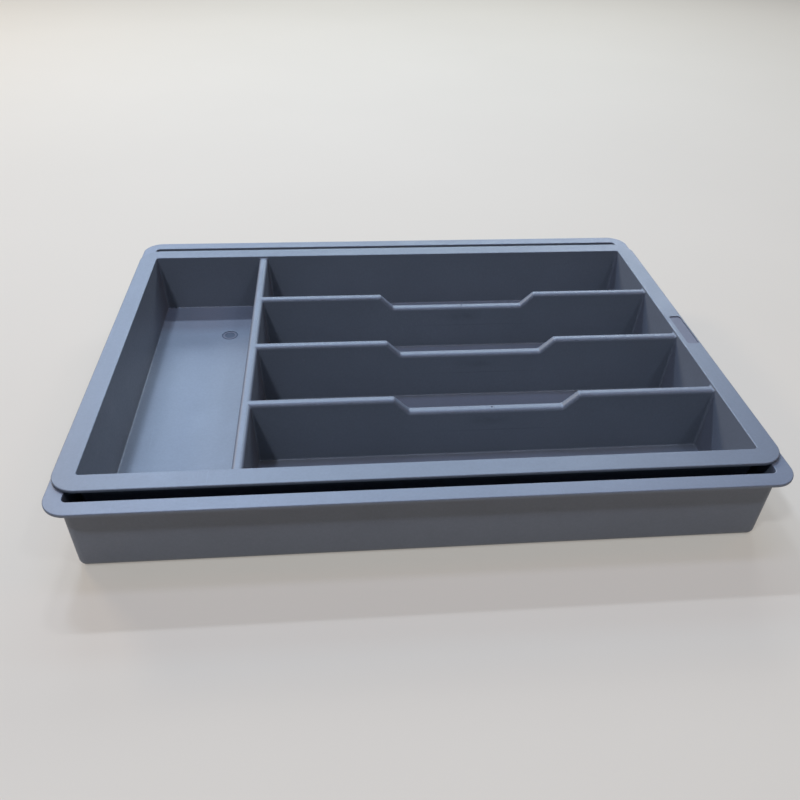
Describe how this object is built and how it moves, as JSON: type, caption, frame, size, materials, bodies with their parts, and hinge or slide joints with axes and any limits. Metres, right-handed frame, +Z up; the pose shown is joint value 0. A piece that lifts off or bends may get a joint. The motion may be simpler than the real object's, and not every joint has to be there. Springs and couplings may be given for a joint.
{
  "type": "nested cutlery tray",
  "caption": "Shallow rectangular drawer tray with one long side compartment and notched cross dividers, hanging by its rim in a plain outer tray.",
  "frame": {"origin": "centre of the outer tray's base, on the surface it stands on", "axes": "+X along the length towards the end with the sunk rim panel, +Y to the back, +Z up"},
  "size_m": [0.4012, 0.3128, 0.0506],
  "materials": {
    "outer_grey": "fine satin moulded texture",
    "inner_grey": "fine satin moulded texture"
  },
  "bodies": {
    "outer": {"outer_tray": "outer_grey"},
    "inner": {"inner_tray": "inner_grey"}
  },
  "joints": [
    {"name": "inner_tray_slide", "type": "slide", "parent": "outer", "child": "inner", "axis": [0, 1, 0], "range_m": [-0.0161, 0.0189]}
  ]
}
